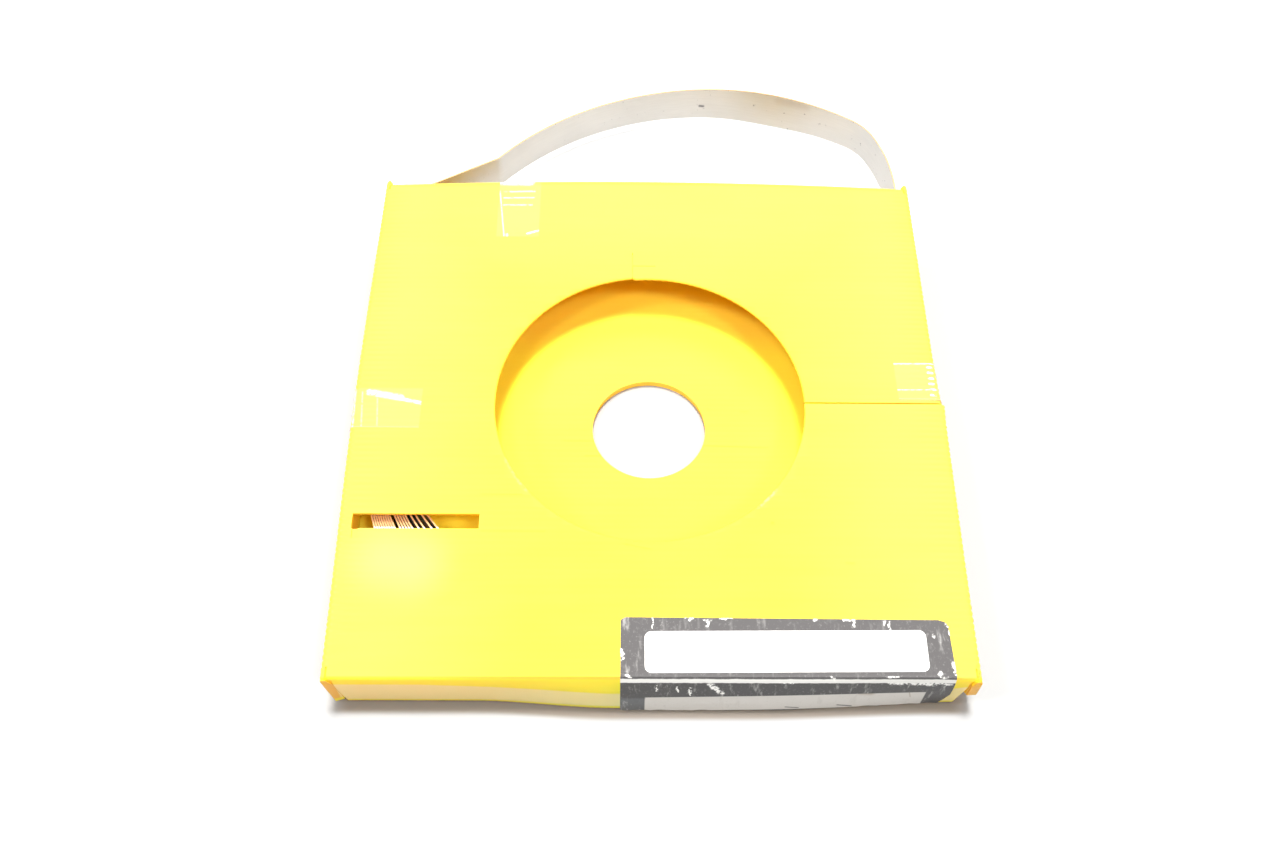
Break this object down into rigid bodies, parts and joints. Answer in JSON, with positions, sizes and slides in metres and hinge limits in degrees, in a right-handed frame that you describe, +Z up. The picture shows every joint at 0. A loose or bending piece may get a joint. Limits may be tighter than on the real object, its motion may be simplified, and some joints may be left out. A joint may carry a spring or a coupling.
{
  "type": "stainless steel banding roll",
  "caption": "Part-used coil of flat stainless steel banding in its square fluted plastic dispenser carton, with a turn drawn out at the back.",
  "frame": {"origin": "centre of the small round hole in the carton's floor, at the underside of the floor", "axes": "+X to the right, +Y to the back of the carton where the drawn-out turn stands, +Z up through both round holes"},
  "size_m": [0.2804, 0.3563, 0.0296],
  "materials": {
    "yellow_sheet": "satin fluted polypropylene sheet, scuffed along its folds",
    "stainless_strip": "bright rolled stainless strip with light spots and dull slit edges",
    "clear_tape": "clear adhesive tape, wrinkled",
    "printed_paper": "printed paper with a dark border and white fields, scuffed"
  },
  "bodies": {
    "root": {"carton": "yellow_sheet", "banding": "stainless_strip", "tape_back": "clear_tape", "tape_left": "clear_tape", "tape_right": "clear_tape", "label": "printed_paper"}
  },
  "joints": []
}
